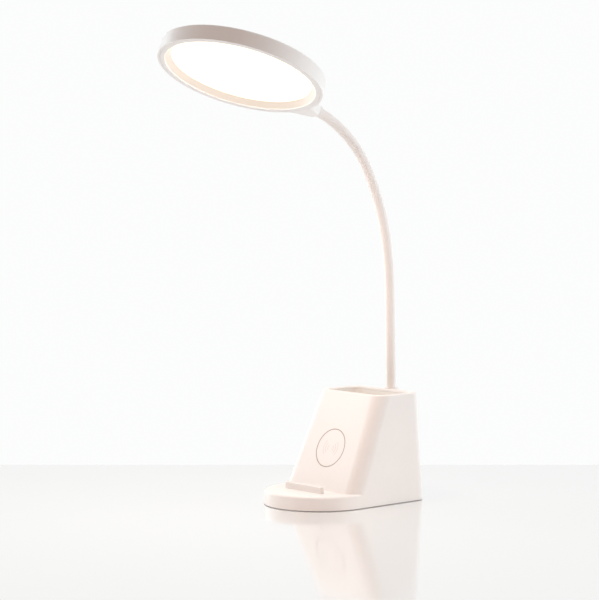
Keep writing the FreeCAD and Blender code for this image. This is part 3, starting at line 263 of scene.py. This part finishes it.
MOULDED = {
    "shell_white": ((0.885, 0.845, 0.815), (0.865, 0.825, 0.795), 0.42, 2600.0, 0.000012),
    "head_white": ((0.87, 0.845, 0.825), (0.85, 0.825, 0.805), 0.38, 2600.0, 0.000010),
    "sleeve_white": ((0.895, 0.845, 0.81), (0.88, 0.83, 0.795), 0.5, 1400.0, 0.000006),
    # The cup's white is painted lighter than the shell's white, though it is the same plastic, to stand in
    # for light inside the cup
    "cup_white_painted_light": ((0.99, 0.955, 0.91), (0.98, 0.945, 0.90), 0.45, 2600.0, 0.000008),
    # The pad's grey is painted lighter than its rubber, to thin the shade in the gap under the base
    "pad_grey": ((0.60, 0.55, 0.52), (0.55, 0.50, 0.475), 0.75, 1500.0, 0.00002),
    "ring_taupe": ((0.46, 0.345, 0.285), (0.42, 0.315, 0.26), 0.35, 2200.0, 0.000008),
    "print_grey": ((0.80, 0.735, 0.70), (0.78, 0.715, 0.68), 0.45, 2600.0, 0.000006),
    "lead_grey": ((0.12, 0.12, 0.125), (0.10, 0.10, 0.105), 0.6, 2000.0, 0.00001),
    "board_green": ((0.03, 0.13, 0.06), (0.025, 0.10, 0.05), 0.3, 1200.0, 0.00001),
    "ferrite_grey": ((0.04, 0.04, 0.042), (0.03, 0.03, 0.032), 0.7, 1600.0, 0.00002),
}

# Metals: colour, roughness and how much closer the lines are along each axis

METALS = {
    "steel": ((0.62, 0.62, 0.63), 0.32, (1.0, 1.0, 12.0)),
    "iron": ((0.16, 0.16, 0.165), 0.6, (1.0, 1.0, 1.0)),
    "copper": ((0.72, 0.36, 0.2), 0.35, (1.0, 1.0, 8.0)),
    "aluminium": ((0.75, 0.75, 0.76), 0.4, (12.0, 1.0, 1.0)),
}

finishes = {name: moulded(name, *values) for name, values in MOULDED.items()}
for name, values in METALS.items():
    finishes[name] = metal(name, *values)
finishes["diffuser_light"] = glowing("diffuser_light")

# The finish of each constructed piece: sleeves and leads go by their kind, and what isn't named is steel

PIECE_FINISH = {
    "base_shell": "shell_white", "pen_cup": "cup_white_painted_light", "bottom_plate": "shell_white",
    "base_pad": "pad_grey", "counterweight": "iron", "charging_ring": "ring_taupe", "charging_coil": "copper",
    "ferrite_sheet": "ferrite_grey", "coil_holder": "shell_white", "charger_board": "board_green",
    "control_board": "board_green", "touch_sensor_board": "board_green", "arm_collar": "shell_white",
    "neck_collar": "head_white", "head_housing": "head_white", "head_bezel": "head_white",
    "diffuser": "diffuser_light", "backing_plate": "aluminium", "led_strip": "shell_white",
    "reflector": "shell_white", "light_guide": "shell_white", "led_emitters": "shell_white",
}
for name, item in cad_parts.items():
    if name.startswith("sleeve"):
        finish = "sleeve_white"
    elif name.startswith("lead"):
        finish = "lead_grey"
    else:
        finish = PIECE_FINISH.get(name, "steel")
    item.data.materials.clear()
    item.data.materials.append(finishes[finish])


# Gooseneck skin: one smooth tube, cut at the middle of each segment and bent over each joint

stub_low, stub_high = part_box("sleeve_base")
COLUMN_Y = (stub_low[1] + stub_high[1]) / 2
SLEEVE_FOOT = stub_low[2]
NECK_RADIUS = (stub_high[1] - stub_low[1]) / 2
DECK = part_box("base_shell")[1][2]

# As in the part's model: the first joint's rise above the deck, the pitch, the forward lean and the turns

NECK_RISE = 0.010
NECK_PITCH = 0.044
NECK_LEAN = math.radians(1.4)
NECK_TURNS = [math.radians(turn) for turn in (0.0, 0.0, 6.5, 11.0, 10.0, 20.6, 16.7)]

SKIN = 0.00015
SKIN_AROUND = 64
RING_STEP = 0.002
STUB_STEPS = round(NECK_RISE / RING_STEP)
STEPS = round(NECK_PITCH / RING_STEP)


def neck_frames():
    """Frames along the neck's centreline, from the deck to the head, a small step apart."""
    start = Matrix.Translation((0, COLUMN_Y, DECK))
    made = [start @ Matrix.Translation((0, 0, NECK_RISE * index / STUB_STEPS)) for index in range(STUB_STEPS)]
    here = start @ Matrix.Translation((0, 0, NECK_RISE)) @ Matrix.Rotation(NECK_LEAN, 4, "X")
    for turn in NECK_TURNS:
        for index in range(STEPS + 1):
            angle = turn * index / STEPS
            if turn:
                radius = NECK_PITCH / turn
                move = Vector((0, -radius * (1 - math.cos(angle)), radius * math.sin(angle)))
            else:
                move = Vector((0, 0, NECK_PITCH * index / STEPS))
            place = here @ Matrix.Translation(move) @ Matrix.Rotation(angle, 4, "X")
            if index < STEPS:
                made.append(place)
        here = place
    made.append(here)
    return made


def skin(name, places):
    """A thin closed tube over the given frames, with its round normals kept up to its ends."""
    shape = bmesh.new()
    normals = []

    def ring(place, radius, normal_of):
        made = []
        for index in range(SKIN_AROUND):
            angle = 2 * math.pi * index / SKIN_AROUND
            outward = Vector((math.cos(angle), math.sin(angle), 0))
            made.append(shape.verts.new(place @ (radius * outward)))
            normals.append((place.to_3x3() @ normal_of(outward)).normalized())
        return made

    def wall(low, high, flipped):
        for index in range(SKIN_AROUND):
            after = (index + 1) % SKIN_AROUND
            corners = [low[index], low[after], high[after], high[index]]
            shape.faces.new(corners[::-1] if flipped else corners)

    inner_radius = NECK_RADIUS - SKIN
    outer = [ring(place, NECK_RADIUS, lambda way: way) for place in places]
    inner = [ring(place, inner_radius, lambda way: -way) for place in places]
    for low, high in zip(outer, outer[1:]):
        wall(low, high, False)
    for low, high in zip(inner, inner[1:]):
        wall(low, high, True)
    for place, sign in ((places[0], -1), (places[-1], 1)):
        edge = UP * sign
        wide = ring(place, NECK_RADIUS, lambda way: edge)
        narrow = ring(place, inner_radius, lambda way: edge)
        wall(wide, narrow, sign < 0)
    mesh = bpy.data.meshes.new(name)
    shape.to_mesh(mesh)
    shape.free()
    for face in mesh.polygons:
        face.use_smooth = True
    mesh.normals_split_custom_set_from_vertices(normals)
    mesh.materials.append(finishes["sleeve_white"])
    made = bpy.data.objects.new(name, mesh)
    scene.collection.objects.link(made)
    return made


def neck_skins():
    """One skin for each joint of the neck; the first also covers the fixed stub down to its foot."""
    places = neck_frames()
    buried = Matrix.Translation((0, COLUMN_Y, SLEEVE_FOOT))
    count = len(NECK_TURNS)
    for number in range(1, count + 1):
        first = number == 1
        hinge = STUB_STEPS + STEPS * (number - 1)
        low = 0 if first else hinge - STEPS // 2
        high = hinge + STEPS // 2 if number < count else len(places) - 1
        stretch = places[low:high + 1]
        piece = skin("sleeve_skin_%d" % number, [buried] + stretch if first else stretch)
        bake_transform(piece)
        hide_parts("sleeve_%d" % number)
        if first:
            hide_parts("sleeve_base")


neck_skins()


# Faint printed arcs inside the charging ring, three to each side

ARC_RADII = (0.0040, 0.0072, 0.0104)
ARC_SPREAD = math.radians(42.0)
ARC_WIDTH = 0.0010
ARC_PROUD = 0.00004
ARC_STEPS = 24

# The least part of a face's normal that counts as looking forward or down, and as leaning up

FACING = 0.5
LEANING = 0.1


def slope_face():
    """A point of the phone slope and its normal, from the shell's largest face that looks forward and up."""
    faces = [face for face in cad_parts["base_shell"].data.polygons
             if face.normal.y < -FACING and face.normal.z > LEANING]
    widest = max(faces, key=lambda face: face.area)
    return widest.center.copy(), widest.normal.copy()


def box_middle(name):
    low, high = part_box(name)
    return (Vector(low) + Vector(high)) / 2


def arcs():
    """Two mirrored groups of arcs round the middle of the charging ring, as thin strips on the slope."""
    point, normal = slope_face()
    middle = box_middle("charging_ring")
    middle -= normal * (middle - point).dot(normal)
    across = Vector((1, 0, 0))
    along = normal.cross(across)
    half_width = ARC_WIDTH / 2
    profile = ((-half_width, -ARC_PROUD), (half_width, -ARC_PROUD), (half_width, ARC_PROUD),
               (-half_width, ARC_PROUD))
    shape = bmesh.new()
    for side in (1, -1):
        for radius in ARC_RADII:
            sections = []
            for index in range(ARC_STEPS + 1):
                angle = ARC_SPREAD * (2 * index / ARC_STEPS - 1)
                way = across * (side * math.cos(angle)) + along * math.sin(angle)
                sections.append([shape.verts.new(middle + way * (radius + reach) + normal * lift)
                                 for reach, lift in profile])
            for first, second in zip(sections, sections[1:]):
                for index in range(len(profile)):
                    after = (index + 1) % len(profile)
                    shape.faces.new((first[index], first[after], second[after], second[index]))
            shape.faces.new(sections[0])
            shape.faces.new(sections[-1][::-1])
    bmesh.ops.recalc_face_normals(shape, faces=shape.faces)
    mesh = bpy.data.meshes.new("wave_arcs")
    shape.to_mesh(mesh)
    shape.free()
    made = bpy.data.objects.new("wave_arcs", mesh)
    scene.collection.objects.link(made)
    mesh.materials.append(finishes["print_grey"])
    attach(made, "base")


arcs()


# Stage: a glossy pale floor with its far edge behind the lamp, and a white surround

FAR_EDGE_DROP = math.radians(8.0)
FLOOR_HALF_WIDTH = 4
FLOOR_BEHIND_EYE = 1


def seen_directly(tree):
    """1 for what the camera sees straight on, in a gloss or through glass, else 0."""
    path = add(tree, "ShaderNodeLightPath")
    made = path.outputs["Is Camera Ray"]
    for name in ("Is Glossy Ray", "Is Transmission Ray"):
        either = add(tree, "ShaderNodeMath", operation="MAXIMUM")
        tree.links.new(made, either.inputs[0])
        tree.links.new(path.outputs[name], either.inputs[1])
        made = either.outputs[0]
    return made


def floor_finish():
    """Polished white sheet: seen directly it mostly mirrors; the light it casts on the lamp is diffuse."""
    made, tree, shader = material("floor_white")
    place = object_place(tree)
    tone = spread(tree, noise(tree, place, FLOOR_WAVES, detail=2.0), low=0.0, high=1.0)
    smears = noise(tree, place, FLOOR_SMEARS, detail=3.0)
    bounce = mix(tree, tone, FLOOR_WHITE, scaled(FLOOR_WHITE, FLOOR_SHARE))
    tree.links.new(bounce, shader.inputs["Base Color"])
    shader.inputs["Roughness"].default_value = FLOOR_ROUGH
    shader.inputs["Specular IOR Level"].default_value = 0.0
    under = add(tree, "ShaderNodeBsdfDiffuse")
    body = mix(tree, tone, FLOOR_UNDER, scaled(FLOOR_UNDER, FLOOR_SHARE))
    tree.links.new(body, under.inputs["Color"])
    glow = add(tree, "ShaderNodeEmission")
    glow.inputs["Strength"].default_value = FLOOR_GLOW
    lit = add(tree, "ShaderNodeAddShader")
    tree.links.new(under.outputs[0], lit.inputs[0])
    tree.links.new(glow.outputs[0], lit.inputs[1])
    mirror = add(tree, "ShaderNodeBsdfGlossy")
    mirror.inputs["Color"].default_value = (*FLOOR_POLISH, 1.0)
    smooth, dull = MIRROR_ROUGH
    tree.links.new(spread(tree, smears, low=smooth, high=dull), mirror.inputs["Roughness"])
    polished = mix_shaders(tree, FLOOR_MIRROR, lit.outputs[0], mirror.outputs[0])
    surface = mix_shaders(tree, seen_directly(tree), shader.outputs[0], polished)
    tree.links.new(surface, node_of(tree, "OUTPUT_MATERIAL").inputs["Surface"])
    return made


def stage_floor():
    """A flat sheet from behind the camera to an edge that shows a little below eye level."""
    below_eye = Vector((EYE.x, EYE.y, 0))
    far = below_eye + AHEAD * EYE.z / math.tan(FAR_EDGE_DROP)
    near = below_eye - AHEAD * FLOOR_BEHIND_EYE
    half = ASIDE * FLOOR_HALF_WIDTH
    mesh = bpy.data.meshes.new("floor")
    mesh.from_pydata([near - half, near + half, far + half, far - half], [], [(0, 1, 2, 3)])
    mesh.materials.append(floor_finish())
    floor = bpy.data.objects.new("floor", mesh)
    scene.collection.objects.link(floor)


def surround():
    """White where it is seen; as light it is warm from the camera's side and cool from behind the lamp."""
    world = bpy.data.worlds.new("surround")
    scene.world = world
    world.use_nodes = True
    tree = world.node_tree
    ambient = node_of(tree, "BACKGROUND")
    direction = add(tree, "ShaderNodeVectorMath", operation="DOT_PRODUCT")
    tree.links.new(add(tree, "ShaderNodeTexCoord").outputs["Generated"], direction.inputs[0])
    direction.inputs[1].default_value = tuple(AHEAD)
    behind = spread(tree, direction.outputs["Value"], low=0.0, high=1.0, from_low=-0.6, from_high=0.4)
    tree.links.new(mix(tree, behind, FRONT_AMBIENT, BACK_AMBIENT), ambient.inputs["Color"])
    white = add(tree, "ShaderNodeBackground")
    white.inputs["Color"].default_value = (*SURROUND_WHITE, 1.0)
    white.inputs["Strength"].default_value = 1.0
    sky = mix_shaders(tree, seen_directly(tree), ambient.outputs[0], white.outputs[0])
    tree.links.new(sky, node_of(tree, "OUTPUT_WORLD").inputs["Surface"])


def area_light(name, place, aim, size, power, colour, shape="RECTANGLE"):
    data = bpy.data.lights.new(name, "AREA")
    data.shape = shape
    data.size, data.size_y = size
    data.energy = power
    data.color = colour
    made = bpy.data.objects.new(name, data)
    scene.collection.objects.link(made)
    made.visible_camera = False
    made.location = place
    made.rotation_euler = (aim - place).to_track_quat("-Z", "Y").to_euler()
    return made


stage_floor()
surround()
area_light("left_softbox", LEFT_PLACE, AIM, SOFTBOX_SIZE, LEFT_POWER, LEFT_COLOUR)
right_softbox = area_light("right_softbox", RIGHT_PLACE, AIM, SOFTBOX_SIZE, RIGHT_POWER, RIGHT_COLOUR)

# Kept out of reflections, because it would wash out the head's top in a view from the front left

right_softbox.visible_glossy = False


# The lamp's own beam, which leaves just below its opal light and moves with the head

out_of_light = Vector((0, 0, 0))
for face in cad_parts["diffuser"].data.polygons:
    if face.normal.z < -FACING:
        out_of_light += face.normal * face.area
out_of_light.normalize()
beam_place = box_middle("diffuser") + out_of_light * BEAM_BELOW_OPAL
beam_aim = beam_place + out_of_light
beam = area_light("lamp_beam", beam_place, beam_aim, BEAM_SIZE, BEAM_POWER, BEAM_COLOUR, "DISK")
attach(beam, "head")
